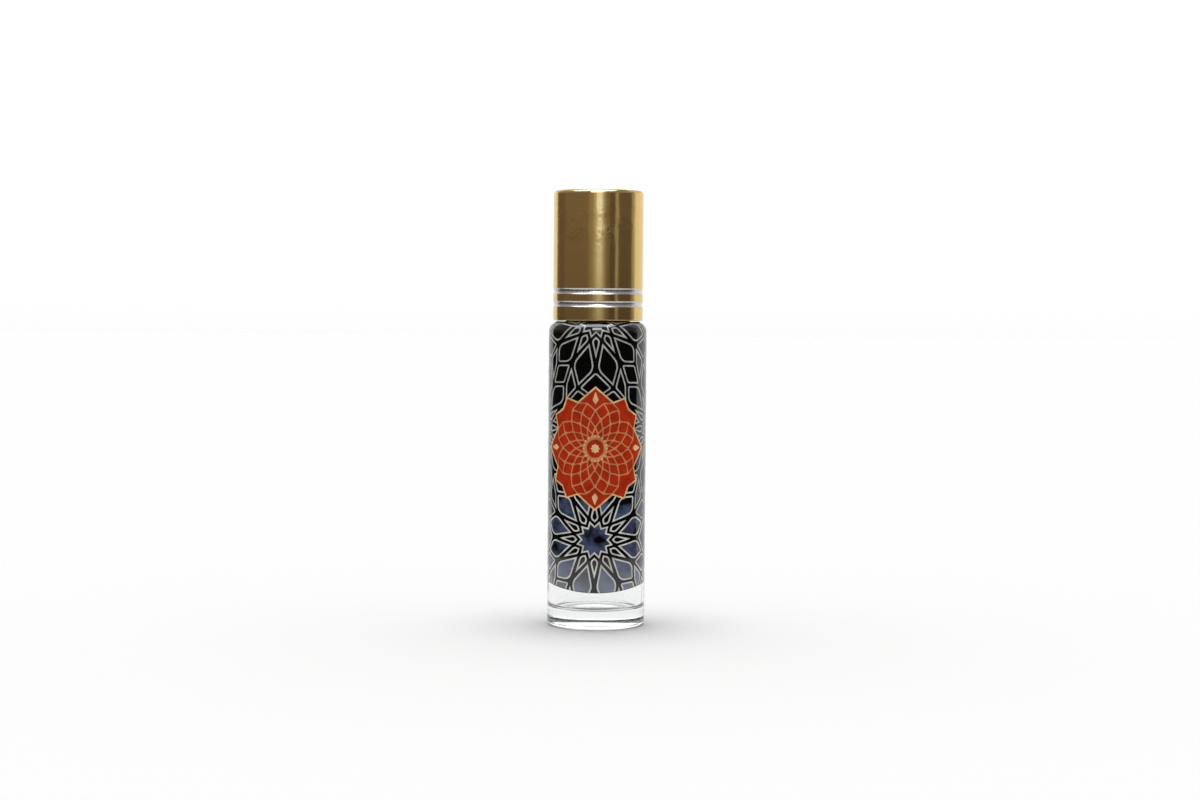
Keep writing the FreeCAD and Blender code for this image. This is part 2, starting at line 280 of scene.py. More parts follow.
band, wall = standing(FOOT, HEAD), standing(HEAD, TOP)
cards = [  # name, first and last angle, brightness, line, tint
    ("left_far_card", LEFT_END, -95, 0.15, band, WARM),
    ("left_near_card", -95, -24, 0.205, band, WARM),
    ("left_soft_card", -24, FLANKS[0], 0.32, band, WARM),
    ("left_flank_card", FLANKS[0], STREAK[0], 0.46, band, WHITE),
    ("right_flank_card", STREAK[1], FLANKS[1], 0.42, band, WHITE),
    ("right_soft_card", FLANKS[1], 28, 0.22, band, WARM),
    ("right_near_card", 28, 44, 0.1, band, WARM),
    ("right_line_card", 44, 51, 0.52, band, WHITE),
    ("right_far_card", 51, 94, 0.13, band, WARM),
    ("right_edge_card", 94, RIGHT_END, 0.45, band, WHITE),
    ("streak_card", *STREAK, 0.62, standing(FOOT, STREAK_TOP), WHITE),
    ("streak_top_card", *STREAK, 2.3, standing(STREAK_TOP, STREAK_HEAD), COOL),
    ("left_wall", LEFT_END, FLANKS[0], GREY, wall, WHITE),
    ("right_wall", FLANKS[1], RIGHT_END, GREY, wall, WHITE),
    ("grey_back", RIGHT_END, 360 + LEFT_END, 0.8, standing(BACK_FOOT, TOP), WHITE),
    ("black_skirt", LEFT_END, RIGHT_END, BLACK, standing(0, FOOT), WHITE),
    ("black_sheet", LEFT_END, RIGHT_END, BLACK, [(SHEET_FROM, MM), (CARD_AWAY, MM)], WHITE),
    ("black_roof", -180, 180, BLACK, [(CARD_AWAY, TOP), (MM, ROOF_Z)], WHITE),
    ("front_softbox", -13, 11, 10.0, SOFTBOX_LINE, WHITE),
]
for card in cards:
    stand_card(*card)

# %% Hang the softboxes
SOFTBOX_Z = 0.80


def hang_softbox(name, middle, size, brightness):
    """A level rectangle of light above the bottle."""
    rest_all()
    bpy.ops.mesh.primitive_plane_add(size=1.0, location=(*middle, SOFTBOX_Z))
    softbox = bpy.context.object
    softbox.name = name
    softbox.scale = (*size, 1)
    light_up(softbox, brightness, DAYLIGHT)
    print(f"{name} {size[0]:.2f} m wide")


hang_softbox("front_strip", (-0.22, -0.24), (1.2, 0.42), 8.0)
hang_softbox("back_strip", (-0.15, 0.27), (1.0, 0.60), 0.8)

# %% [markdown]
# ## The film and where its artwork lies
# The film is a sleeve a few hundredths of a millimetre thick, drawn over the straight body and part of the
# shoulder's rounding. The CAD sleeve is as thick as film and print together, so the film here is a thinner
# turned sleeve, and the print stands on it in layers that stay inside the CAD sleeve's outside. Artwork is
# drawn flat, as a printer does, and one function says where each flat point comes to lie: around the body,
# then over the shoulder. A real sleeve shrinks unevenly, so the function also draws the lower edge up a
# little at the sides.

# %% Say where the artwork lies
film_low, film_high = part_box("printed_sleeve")


def widest(node_name):
    """The largest radius that a CAD node reaches about the bottle's axis."""
    return max(vertex.co.xy.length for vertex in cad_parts[node_name].data.vertices)


GLASS_R = widest("glass_bottle")
PRINT_R = widest("printed_sleeve")  # outside of the film and its print
FILM_BOTTOM = film_low.z
SHOULDER_R = 2.05 * MM  # rounding of the glass shoulder
FILM_TOP_TURN = math.radians(80)  # how far the film climbs round it
SHOULDER_Z = film_high.z - (SHOULDER_R + PRINT_R - GLASS_R) * math.sin(FILM_TOP_TURN)
PRINT_TURN = math.radians(-1.9)  # the print sits a little to the left
EDGE_RISE = 1.4 * MM  # how far the lower edge is drawn up at the sides
EDGE_RISE_END = FILM_BOTTOM + 12 * MM


def on_film(across, up, lift):
    """Where a point of the flat artwork lies on the bottle, so far above the glass."""
    turn = across / PRINT_R + PRINT_TURN
    drawn_up = max(0, (EDGE_RISE_END - up) / (EDGE_RISE_END - FILM_BOTTOM))
    up += EDGE_RISE * drawn_up * math.sin(turn) ** 2
    if up <= SHOULDER_Z:
        radius, height = GLASS_R + lift, up
    else:
        climb = (up - SHOULDER_Z) / SHOULDER_R
        radius = GLASS_R - SHOULDER_R + (SHOULDER_R + lift) * math.cos(climb)
        height = SHOULDER_Z + (SHOULDER_R + lift) * math.sin(climb)
    return Vector((radius * math.sin(turn), -radius * math.cos(turn), height))


print(f"the film's artwork is {math.tau * PRINT_R / MM:.2f} mm long")

# %% Turn the film
FILM_FROM = 0.002 * MM  # heights of the layers above the glass
FILM_TO = 0.022 * MM
FILM_STEPS = 200
FILM_TOP = SHOULDER_Z + SHOULDER_R * FILM_TOP_TURN  # measured along the flat artwork
ARC_STEPS = 16
STRAIGHT_END = SHOULDER_Z - 0.2 * MM  # a ring here keeps the smooth shading of the straight part straight
FILM_SMOOTH = math.radians(40)

film_heights = [FILM_BOTTOM, EDGE_RISE_END, STRAIGHT_END]
film_heights += [SHOULDER_Z + (FILM_TOP - SHOULDER_Z) * step / ARC_STEPS for step in range(ARC_STEPS + 1)]
front = -PRINT_TURN * PRINT_R  # where the edge isn't drawn up
film_outline = [on_film(front, up, FILM_TO) for up in film_heights]
film_outline += [on_film(front, up, FILM_FROM) for up in reversed(film_heights)]
film = trace("film", film_outline + film_outline[:1])
spin(film, math.tau, FILM_STEPS)
for vertex in film.data.vertices:
    if vertex.co.z < FILM_BOTTOM + FILM_TO:
        vertex.co.z += EDGE_RISE * (vertex.co.x / vertex.co.xy.length) ** 2
film.select_set(True)
bpy.ops.object.shade_smooth_by_angle(angle=FILM_SMOOTH)
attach(film, "bottle")
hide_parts("printed_sleeve")

# %% [markdown]
# ## The strapwork's cells
# The film carries a traditional net of twelve-pointed rosettes in silver ink. The net is made of cells: a
# star in the middle, twelve kites, twelve petals, and five kinds that fill the space up to the neighbouring
# rosettes, whose petal tips reach into the notches of this one. Each cell is outlined by its own line, and
# the dark band between two such lines reads as a strap. One cell of each kind is drawn flat. An inset sets
# it back by half a strap, a vertex bevel rounds its corners, and a second inset leaves only its line. The
# set-back comes before the rounding, because an inset that is wider than a rounding folds over itself. Low
# on the bottle the larger cells are filled with navy, so each of these is drawn once more without the
# second inset.

# %% Draw a flat cell
CORNER_STEPS = 5
NEAR = 0.001 * MM  # a vertex this close to a point lies on it


def polar(radius, degrees):
    """A flat point at a radius and an angle."""
    turn = math.radians(degrees)
    return Vector((radius * math.cos(turn), radius * math.sin(turn), 0))


def select_points(piece, wanted):
    """Selects the vertices that lie at the wanted points."""
    bpy.ops.mesh.select_mode(type="VERT")
    bpy.ops.mesh.select_all(action="DESELECT")
    bpy.ops.object.mode_set(mode="OBJECT")
    for vertex in piece.data.vertices:
        vertex.select = any((vertex.co - point).length < NEAR for point in wanted)
    bpy.ops.object.mode_set(mode="EDIT")


def cell(name, corners, set_back=0):
    """A flat cell that faces up. Each corner is a point and how far back its rounding starts."""
    piece = trace(name, [point for point, _ in corners])
    bpy.ops.mesh.select_all(action="SELECT")
    bpy.ops.mesh.edge_face_add()
    bpy.ops.mesh.select_mode(type="FACE")
    bpy.ops.mesh.select_all(action="SELECT")
    piece.update_from_editmode()
    if piece.data.polygons[0].normal.z < 0:
        bpy.ops.mesh.flip_normals()
    if set_back:
        bpy.ops.mesh.inset(thickness=set_back)
        bpy.ops.mesh.select_all(action="INVERT")
        bpy.ops.mesh.delete(type="FACE")
    piece.update_from_editmode()
    spots = [vertex.co.copy() for vertex in piece.data.vertices]
    for cut_back in sorted({size for _, size in corners if size}):
        chosen = [point for point, size in corners if size == cut_back]
        select_points(piece, [min(spots, key=lambda spot: (spot - point).length) for point in chosen])
        bpy.ops.mesh.bevel(offset=cut_back, segments=CORNER_STEPS, affect="VERTICES")
    return piece


def keep_line(width):
    """Leaves only a line along the inside of the edge of the cell that is in edit mode."""
    bpy.ops.mesh.select_mode(type="FACE")
    bpy.ops.mesh.select_all(action="SELECT")
    bpy.ops.mesh.inset(thickness=width)
    bpy.ops.mesh.delete(type="ONLY_FACE")


print(f"each rounded corner has {CORNER_STEPS} steps")

# %% Draw the strapwork's cells
NET_X = math.tau * PRINT_R / 2  # two rosettes go round the bottle
NET_Y = 22.25 * MM  # from one row of rosettes to the next
STAR_IN_R = 3.2 * MM
STAR_TIP_R = 4.45 * MM
KITE_R = 9.1 * MM
PETAL_R = 10.3 * MM
PETAL_TIP_R = 12.8 * MM
LONG_TIP_R = 14.4 * MM  # the petals next to the upright axis are longer
MIDDLE_R = 16.4 * MM  # corner on the upright axis, between the neighbours
HALF_STRAP = 0.27 * MM
LINE_W = 0.3 * MM
SOFT = 0.5 * MM  # roundings
FULL = 1.2 * MM

over = Vector((NET_X / 2, NET_Y, 0))  # to the next rosette, up and to the right
notch = [polar(PETAL_R, 30 * k) for k in range(4)]
tip15, tip45, tip75 = polar(PETAL_TIP_R, 15), polar(PETAL_TIP_R, 45), polar(LONG_TIP_R, 75)
middle = Vector((0, MIDDLE_R, 0))
mirror_x, mirror_y = Matrix.Diagonal((-1, 1, 1, 1)), Matrix.Diagonal((1, -1, 1, 1))
upright = Vector((0, NET_Y, 0))
half_octagon = [middle, over - tip15, over - notch[0], over - mirror_y @ tip15]
other_half = [2 * upright - corner for corner in half_octagon]
net_cells = {
    "star": [(polar(STAR_TIP_R if k % 2 else STAR_IN_R, 15 * k), 0) for k in range(24)],
    "kite": [
        (polar(STAR_IN_R, 0), 0),
        (polar(STAR_TIP_R, -15), SOFT),
        (polar(KITE_R, 0), 0),
        (polar(STAR_TIP_R, 15), SOFT),
    ],
    "petal": [(polar(STAR_TIP_R, 15), 0), (notch[0], FULL), (tip15, SOFT), (notch[1], FULL)],
    "long_petal": [(polar(STAR_TIP_R, 75), 0), (notch[2], FULL), (tip75, 0), (notch[3], FULL)],
    "link": [(notch[2], SOFT), (tip45, SOFT), (over - notch[2], SOFT), (over - tip45, SOFT)],
    "slip": [(notch[2], 0), (over - tip45, SOFT), (over - notch[1], 0), (tip75, SOFT)],
    "wedge": [(tip75, SOFT), (over - notch[1], SOFT), (over - tip15, SOFT), (middle, SOFT)],
    "diamond": [(notch[3], SOFT), (tip75, SOFT), (middle, SOFT), (mirror_x @ tip75, SOFT)],
    "octagon": [(corner, SOFT) for corner in half_octagon + other_half],
}
lines, fields = {}, {}
for cell_name, corners in net_cells.items():
    lines[cell_name] = cell(cell_name + "_line", corners, HALF_STRAP)
    keep_line(LINE_W)
    rest_all()
    print(f"{cell_name}: a line of {len(lines[cell_name].data.polygons)} faces")
    if cell_name != "kite":
        fields[cell_name] = cell(cell_name + "_field", corners, HALF_STRAP + LINE_W / 2)
        rest_all()

# %% [markdown]
# ## Filling the net and wrapping it
# Two rosettes go round the bottle, and each row is shifted by half a step against the last. Copies of the
# cells are moved, turned and mirrored into place while everything is still flat, where this is plain
# geometry. Cells under the medallion and off the film are left out. The flat net is then trimmed at the
# film's edges and cut into narrow strips, because a face can't bend: only its corners move when the artwork
# is laid round the bottle. Solidify gives the ink its height.

# %% Lay copies and join them
def lay_copy(source, matrix):
    """A copy of a flat cell with its own mesh, moved by the matrix."""
    copy = source.copy()
    copy.data = source.data.copy()
    copy.data.transform(matrix)
    if matrix.determinant() < 0:
        copy.data.flip_normals()  # a mirrored face would look down
    bpy.context.scene.collection.objects.link(copy)
    return copy


def join(name, parts):
    """Joins flat parts into one piece."""
    rest_all()
    for part in parts:
        part.select_set(True)
    bpy.context.view_layer.objects.active = parts[0]
    bpy.ops.object.join()
    piece = bpy.context.object
    piece.name = name
    piece.data.name = name
    return piece


# %% Cut artwork and wrap it
EDGE_MARGIN = 0.12 * MM  # bare film along the upper and lower edge
STRIP = 0.4 * MM
INK_SMOOTH = math.radians(30)


def cut(piece, places, direction, **drop):
    """Cuts a flat piece across, at each place along the direction."""
    bpy.ops.object.mode_set(mode="EDIT")
    for place in places:
        bpy.ops.mesh.select_all(action="SELECT")
        bpy.ops.mesh.bisect(plane_co=direction * place, plane_no=direction, **drop)
    bpy.ops.object.mode_set(mode="OBJECT")


def split_cells(piece):
    """Turns faces with many corners into triangles, which can be cut anywhere."""
    bpy.ops.object.mode_set(mode="EDIT")
    bpy.ops.mesh.select_mode(type="FACE")
    bpy.ops.mesh.select_face_by_sides(number=4, type="GREATER", extend=False)
    bpy.ops.mesh.quads_convert_to_tris()
    bpy.ops.object.mode_set(mode="OBJECT")


def wrap(piece, lift_from, lift_to):
    """Lays flat artwork round the bottle and gives it its height."""
    across, upward = Vector((1, 0, 0)), Vector((0, 1, 0))
    split_cells(piece)
    cut(piece, [FILM_BOTTOM + EDGE_MARGIN], upward, clear_inner=True)
    cut(piece, [FILM_TOP - EDGE_MARGIN], upward, clear_outer=True)
    reach = [vertex.co.x for vertex in piece.data.vertices]
    first, last = math.ceil(min(reach) / STRIP), math.floor(max(reach) / STRIP)
    cut(piece, [STRIP * step for step in range(first, last + 1)], across)
    if max(vertex.co.y for vertex in piece.data.vertices) > SHOULDER_Z:
        cuts = math.floor((FILM_TOP - SHOULDER_Z) / (STRIP / 2))
        cut(piece, [SHOULDER_Z + STRIP / 2 * step for step in range(cuts + 1)], upward)
    for vertex in piece.data.vertices:
        vertex.co = on_film(vertex.co.x, vertex.co.y, lift_from)
    rest_all()
    piece.select_set(True)
    bpy.context.view_layer.objects.active = piece
    height = piece.modifiers.new("ink_height", "SOLIDIFY")
    height.thickness = lift_to - lift_from
    height.offset = 1
    bpy.ops.object.modifier_apply(modifier=height.name)
    bpy.ops.object.shade_smooth_by_angle(angle=INK_SMOOTH)
    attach(piece, "bottle")
    print(f"{piece.name}: {len(piece.data.polygons)} faces")


print(f"artwork is cut into strips of {STRIP / MM:.1f} mm")

# %% Fill the net
FIRST_ROW = 18.4 * MM  # height of the lowest whole row of stars
INK_FROM, NAVY_TO, INK_TO = FILM_TO, 0.029 * MM, 0.036 * MM  # above the glass
MEDALLION = Vector((0, 36.85 * MM, 0))
COVERED_R = 10.2 * MM  # the medallion covers all cells within
NAVY_TOP = 38 * MM  # no field that lies above is navy
twelve = [Matrix.Rotation(math.radians(30 * k), 4, "Z") for k in range(12)]
mirrors = [Matrix(), mirror_x, mirror_y, mirror_x @ mirror_y]
turns = {
    "star": twelve[:1],
    "kite": twelve,
    "petal": [twelve[k] for k in (0, 1, 4, 5, 6, 7, 10, 11)],
    "long_petal": mirrors,
    "link": mirrors[:2],
    "slip": mirrors,
    "wedge": mirrors,
    "diamond": [Matrix(), mirror_y],
    "octagon": [Matrix()],
}
rows = {"strapwork_low": (-1, 0), "strapwork_middle": (1,), "strapwork_top": (2,)}
strapwork, navy_copies = [], []
for row_name, steps_up in rows.items():
    copies = []
    places = [
        Vector(((column + step % 2 / 2) * NET_X, FIRST_ROW + step * NET_Y, 0))
        for step in steps_up
        for column in (-1, 0)
    ]
    for place in places:
        for cell_name, matrices in turns.items():
            for matrix in matrices:
                corners = [place + matrix @ point for point, _ in net_cells[cell_name]]
                off_film = max(c.y for c in corners) < FILM_BOTTOM or min(c.y for c in corners) > FILM_TOP
                covered = max((c - MEDALLION).length for c in corners) < COVERED_R
                if not (off_film or covered):
                    copies.append(lay_copy(lines[cell_name], Matrix.Translation(place) @ matrix))
                    if cell_name != "kite" and min(c.y for c in corners) < NAVY_TOP:
                        navy_copies.append(lay_copy(fields[cell_name], Matrix.Translation(place) @ matrix))
    row = join(row_name, copies)
    wrap(row, INK_FROM, INK_TO)
    strapwork.append(row)
navy = join("navy_fields", navy_copies)
wrap(navy, INK_FROM, NAVY_TO)
for source in [*lines.values(), *fields.values()]:
    bpy.data.objects.remove(source)

# %% [markdown]
# ## The medallion
# On the front sits a red medallion with a gold edge and fine copper tracery, in the manner of old
# bookbindings. A copper plate carries red cells, so the copper that stays free between them is the tracery,
# as in cloisonne. Diamonds in four rings fill the middle, each ring turned by half a step against the last,
# and four pointed fields and four stepped fields lead out to the edge. The gold edge line and the ornaments
# lie on top.

# %% Draw the medallion's plate and edge
POINTS = 16
STEP = 360 / POINTS
TIP_R, VALLEY_R, CORNER_R, NOTCH_R = (r * MM for r in (12.25, 9.9, 12.0, 10.8))
CORNER_TURN = 33  # degrees from a tip to the stepped field's corner
HALF_TRACERY = 0.125 * MM
GOLD_EDGE = 0.3 * MM
FINE = 0.12 * MM
PLATE_FROM, PLATE_TO, RED_TO, TRIM_TO = (lift * MM for lift in (0.037, 0.043, 0.048, 0.053))
NARROW = 0.94  # the medallion is slightly narrower than it is tall
laid = Matrix.Translation(MEDALLION) @ Matrix.Diagonal((NARROW, 1, 1, 1))
quarters = [Matrix.Rotation(math.radians(90 * k), 4, "Z") for k in range(4)]
field_edge = [(VALLEY_R, STEP), (CORNER_R, CORNER_TURN), (NOTCH_R, 45), (CORNER_R, 90 - CORNER_TURN)]
edge_turns = [(TIP_R, 0)] + field_edge + [(VALLEY_R, 90 - STEP)]
outline = [quarter @ polar(r + GOLD_EDGE, turn) for quarter in quarters for r, turn in edge_turns]

plate = cell("medallion_plate", [(laid @ point, FINE) for point in outline])
bpy.ops.object.mode_set(mode="OBJECT")
wrap(plate, PLATE_FROM, PLATE_TO)
edge_line = cell("edge_line", [(laid @ point, 0) for point in outline])
keep_line(GOLD_EDGE)
bpy.ops.object.mode_set(mode="OBJECT")

# %% Draw the red cells
RINGS = [r * MM for r in (2.15, 3.0, 4.3, 5.9, 7.7, 9.3)]
DISC_R = 2.0 * MM


def red_cells(name, corners, matrices):
    """Copies of one red cell, set back from the tracery's lines, about the medallion's centre."""
    source = cell(name, corners, HALF_TRACERY)
    bpy.ops.object.mode_set(mode="OBJECT")
    made = [lay_copy(source, laid @ matrix) for matrix in matrices]
    bpy.data.objects.remove(source)
    return made


def about(first):
    """Turns to each of the medallion's points, from a first angle in degrees."""
    return [Matrix.Rotation(math.radians(first + STEP * k), 4, "Z") for k in range(POINTS)]


red_copies = red_cells("disc", [(polar(DISC_R, STEP * k), 0) for k in range(POINTS)], [Matrix()])
for ring in range(1, 5):
    inner, side, outer = RINGS[ring - 1 : ring + 2]
    diamond = [polar(inner, 0), polar(side, -STEP / 2), polar(outer, 0), polar(side, STEP / 2)]
    rounded = [(point, FINE * ring) for point in diamond]
    red_copies += red_cells("diamond", rounded, about(STEP / 2 if ring % 2 == 0 else 0))
small_field = [(RINGS[4], STEP), (RINGS[5], STEP * 1.5), (VALLEY_R, STEP), (RINGS[5], STEP / 2)]
small_turns = [Matrix.Rotation(math.radians(45 * k), 4, "Z") for k in range(8)]
tip_field = [(RINGS[4], 0), (RINGS[5], -STEP / 2), (VALLEY_R, -STEP)]
tip_field += [(TIP_R, 0), (VALLEY_R, STEP), (RINGS[5], STEP / 2)]
step_field = [(RINGS[4], 45), (RINGS[5], STEP * 1.5)] + field_edge
step_field += [(VALLEY_R, 90 - STEP), (RINGS[5], STEP * 2.5)]
for field, matrices in ((small_field, small_turns), (tip_field, quarters), (step_field, quarters)):
    red_copies += red_cells("field", [(polar(r, turn), FINE) for r, turn in field], matrices)
red = join("medallion_red", red_copies)
wrap(red, PLATE_TO, RED_TO)

# %% Draw the gold ornaments
BOSS_R = 1.05 * MM
BOSS_DIP_R = 0.72 * MM
BEADS_AT, BEAD_R, BEAD_COUNT = 2.5 * MM, 0.2 * MM, 20
BEAD_SIDES = 6
PALMETTE_AT = 10.2 * MM
PALMETTE_L, PALMETTE_W = 2.5 * MM, 1.35 * MM
boss = cell("boss", [(laid @ polar(BOSS_DIP_R if k % 2 else BOSS_R, STEP * k), FINE) for k in range(POINTS)])
bpy.ops.object.mode_set(mode="OBJECT")
palmette_corners = [
    (Vector((PALMETTE_AT - PALMETTE_L / 2, 0, 0)), FINE),
    (Vector((PALMETTE_AT - PALMETTE_L / 6, -PALMETTE_W / 2, 0)), FINE * 2),
    (Vector((PALMETTE_AT + PALMETTE_L / 2, 0, 0)), FINE),
    (Vector((PALMETTE_AT - PALMETTE_L / 6, PALMETTE_W / 2, 0)), FINE * 2),
]
palmette = cell("palmette", palmette_corners)
bpy.ops.object.mode_set(mode="OBJECT")
palmettes = [lay_copy(palmette, laid @ quarter) for quarter in quarters]
bpy.data.objects.remove(palmette)
bead_corners = [polar(BEADS_AT, 0) + polar(BEAD_R, 360 / BEAD_SIDES * k) for k in range(BEAD_SIDES)]
bead = cell("bead", [(corner, 0) for corner in bead_corners])
bpy.ops.object.mode_set(mode="OBJECT")
bead_turns = [Matrix.Rotation(math.tau / BEAD_COUNT * k, 4, "Z") for k in range(BEAD_COUNT)]
beads = [lay_copy(bead, laid @ turn) for turn in bead_turns]
bpy.data.objects.remove(bead)
ornaments = join("medallion_ornaments", [boss] + palmettes + beads)
wrap(ornaments, RED_TO, TRIM_TO)
edge_line.name = "medallion_edge"
rest_all()
bpy.context.view_layer.objects.active = edge_line
wrap(edge_line, PLATE_TO, RED_TO)

# %% [markdown]
# ## Gold anodised aluminium
# The cap's shell is drawn from sheet aluminium, polished and anodised gold, so it mirrors its surroundings
# a little softly. Its two grooves were turned after anodising and show bare silver metal. A second material
# could cover the grooves, but the CAD mesh isn't cut there, so the height decides between the two colours.
# Handling left shallow dents and fine rubs, which noise draws: without them the streaks would be ruler-
# straight.

# %% Colour the cap's shell
CAP_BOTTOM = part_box("cap_shell")[0].z
GROOVES = [CAP_BOTTOM + up * MM for up in (3.4, 6.0)]
GROOVE_HALF = 0.57 * MM


def coat_node(node_name, material):
    """Gives a CAD node its finish."""
    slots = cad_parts[node_name].data.materials
    slots.clear()
    slots.append(material)


gold = empty_material("gold_anodised_aluminium")  # gives the eye soft upright streaks and two silver bands
tree = gold.node_tree
place = add(tree, "ShaderNodeTexCoord").outputs["Object"]
height = add(tree, "ShaderNodeSeparateXYZ", {"Vector": place}).outputs["Z"]
low_groove, high_groove = (
    add(tree, "ShaderNodeMath", {0: height, 1: groove, 2: GROOVE_HALF}, operation="COMPARE").outputs[0]
    for groove in GROOVES
)
bare = add(tree, "ShaderNodeMath", {0: low_groove, 1: high_groove}, operation="ADD").outputs[0]
coat = add(
    tree, "ShaderNodeMix", {0: bare, 6: linear("#D9B974"), 7: linear("#C8C8C4")}, data_type="RGBA"
).outputs[2]
coat_node("cap_shell", gold)
print(f"grooves at {[round(groove / MM, 2) for groove in GROOVES]} mm")

# %% Wear the cap's shell
DENT = 0.8 * MM
DENT_DEPTH = 0.05 * MM
DENT_PATCH = 5 * DENT  # dents lie together in patches
DENTS_FROM, DENTS_FULL, DENTS_LESS, DENTS_END = (up * MM for up in (75, 79, 84, 87))
RUB = 0.25 * MM
POLISHED, RUBBED, TURNED = 0.13, 0.20, 0.12  # roughness of the coat, and what the lathe adds in the grooves
dents = add(tree, "ShaderNodeTexNoise", {"Vector": place, "Scale": 1 / DENT, "Detail": 3.0}).outputs[0]
patches = add(
    tree, "ShaderNodeTexNoise", {"Vector": place, "Scale": 1 / DENT_PATCH, "Detail": 1.0}
).outputs[0]
dented = add(tree, "ShaderNodeMapRange", {"Value": patches, "From Min": 0.35, "From Max": 0.65}).outputs[0]
above = add(
    tree, "ShaderNodeMapRange", {"Value": height, "From Min": DENTS_FROM, "From Max": DENTS_FULL}
).outputs[0]
below = add(
    tree, "ShaderNodeMapRange", {"Value": height, "From Min": DENTS_END, "From Max": DENTS_LESS}
).outputs[0]
handled = add(tree, "ShaderNodeMath", {0: above, 1: below}, operation="MULTIPLY").outputs[0]
pressed = add(tree, "ShaderNodeMath", {0: dented, 1: handled}, operation="MULTIPLY").outputs[0]
depth = add(tree, "ShaderNodeMath", {0: dents, 1: pressed}, operation="MULTIPLY").outputs[0]
rubs = add(tree, "ShaderNodeTexNoise", {"Vector": place, "Scale": 1 / RUB, "Detail": 2.0}).outputs[0]
polish = add(
    tree,
    "ShaderNodeMapRange",
    {"Value": rubs, "From Min": 0.3, "From Max": 0.7, "To Min": POLISHED, "To Max": RUBBED},
).outputs[0]
turned = add(tree, "ShaderNodeMath", {0: bare, 1: TURNED, 2: polish}, operation="MULTIPLY_ADD").outputs[0]
surface = add(tree, "ShaderNodeBump", {"Height": depth, "Distance": DENT_DEPTH}).outputs[0]
metal = add(
    tree,
    "ShaderNodeBsdfPrincipled",
    {"Base Color": coat, "Metallic": 1.0, "Roughness": turned, "Normal": surface},
)
add(tree, "ShaderNodeOutputMaterial", {"Surface": metal.outputs[0]})
print(f"dents {DENT_DEPTH / MM:.2f} mm deep, from {DENTS_FROM / MM:.0f} to {DENTS_END / MM:.0f} mm up")

# %% [markdown]
# ## Printed film
# The film is glossy plastic, printed black all over. Its own colour is nearly the same everywhere, so its
# life comes from the gloss: film that was shrunk over glass is slightly wavy, it picks up a faint haze in
# places, and over the shoulder, where it had to shrink most, it is wrinkled.

# %% Finish the film
FILM_WAVE = 3 * MM
WRINKLE = 0.9 * MM
WRINKLE_DEPTH = 0.03 * MM
WAVE_SHARE = 0.25  # depth of the waves against that of the wrinkles
CLEAR, HAZY = 0.03, 0.07  # roughness
FILM_IOR = 1.55  # between polyester and ink
film_print = empty_material("gloss_printed_film")  # gives the eye deep black with small sharp lights
tree = film_print.node_tree
place = add(tree, "ShaderNodeTexCoord").outputs["Object"]
ripple = add(tree, "ShaderNodeTexNoise", {"Vector": place, "Scale": 1 / FILM_WAVE, "Detail": 1.0}).outputs[0]
ground = add(
    tree, "ShaderNodeMix", {0: ripple, 6: linear("#010101"), 7: linear("#050505")}, data_type="RGBA"
).outputs[2]
haze = add(tree, "ShaderNodeMapRange", {"Value": ripple, "To Min": CLEAR, "To Max": HAZY}).outputs[0]
height = add(tree, "ShaderNodeSeparateXYZ", {"Vector": place}).outputs["Z"]
gathered = add(
    tree,
    "ShaderNodeMapRange",
    {"Value": height, "From Min": SHOULDER_Z - WRINKLE, "From Max": SHOULDER_Z + WRINKLE},
).outputs[0]
folds = add(tree, "ShaderNodeTexNoise", {"Vector": place, "Scale": 1 / WRINKLE, "Detail": 2.0}).outputs[0]
swell = add(tree, "ShaderNodeMapRange", {"Value": ripple, "To Max": WAVE_SHARE}).outputs[0]
wrinkles = add(
    tree, "ShaderNodeMath", {0: folds, 1: gathered, 2: swell}, operation="MULTIPLY_ADD"
).outputs[0]
waves = add(tree, "ShaderNodeBump", {"Height": wrinkles, "Distance": WRINKLE_DEPTH}).outputs[0]
gloss = add(
    tree,
    "ShaderNodeBsdfPrincipled",
    {"Base Color": ground, "Roughness": haze, "Normal": waves, "IOR": FILM_IOR},
)
add(tree, "ShaderNodeOutputMaterial", {"Surface": gloss.outputs[0]})
film.data.materials.append(film_print)
print(f"film waves {FILM_WAVE / MM:.0f} mm long")

# %% [markdown]
# ## Navy ink
# Towards the base the cells are navy, in soft blotches a few millimetres wide on black. Noise gives the
# blotches, and the height shifts how much of it counts as navy, so the colour thins out upwards. Next to
# the film's lower edge the navy is paler: painted light, standing in for light that comes in through
# the clear glass.

# %% Mix the navy
BLOTCH = 3.5 * MM
NAVY_FROM, NAVY_FULL, PAINTED_LIGHT_FROM = 36 * MM, 24 * MM, 14 * MM
PAINTED_LIGHT_MOST = 0.45  # how far the painted light pales the navy at the film's edge
NAVY_GRAIN, NAVY_RELIEF = 0.3 * MM, 0.001 * MM
NAVY_ROUGHNESS = 0.06
navy_ink = empty_material("navy_ink")  # gives the eye cloudy blue that fades to black upwards
tree = navy_ink.node_tree
place = add(tree, "ShaderNodeTexCoord").outputs["Object"]
height = add(tree, "ShaderNodeSeparateXYZ", {"Vector": place}).outputs["Z"]
blotch = add(tree, "ShaderNodeTexNoise", {"Vector": place, "Scale": 1 / BLOTCH, "Detail": 3.0}).outputs[0]
fade = add(
    tree,
    "ShaderNodeMapRange",
    {"Value": height, "From Min": NAVY_FROM, "From Max": NAVY_FULL, "To Min": -0.4, "To Max": 0.1},
).outputs[0]
wet = add(tree, "ShaderNodeMath", {0: blotch, 1: fade}, operation="ADD").outputs[0]
share = add(tree, "ShaderNodeMapRange", {"Value": wet, "From Min": 0.46, "From Max": 0.68}).outputs[0]
ground = add(
    tree, "ShaderNodeMix", {0: share, 6: linear("#030304"), 7: linear("#4A5370")}, data_type="RGBA"
).outputs[2]
# painted light: the navy pales towards grey-blue near the film's lower edge
painted_light_share = add(
    tree,
    "ShaderNodeMapRange",
    {"Value": height, "From Min": PAINTED_LIGHT_FROM, "From Max": FILM_BOTTOM, "To Max": PAINTED_LIGHT_MOST},
).outputs[0]
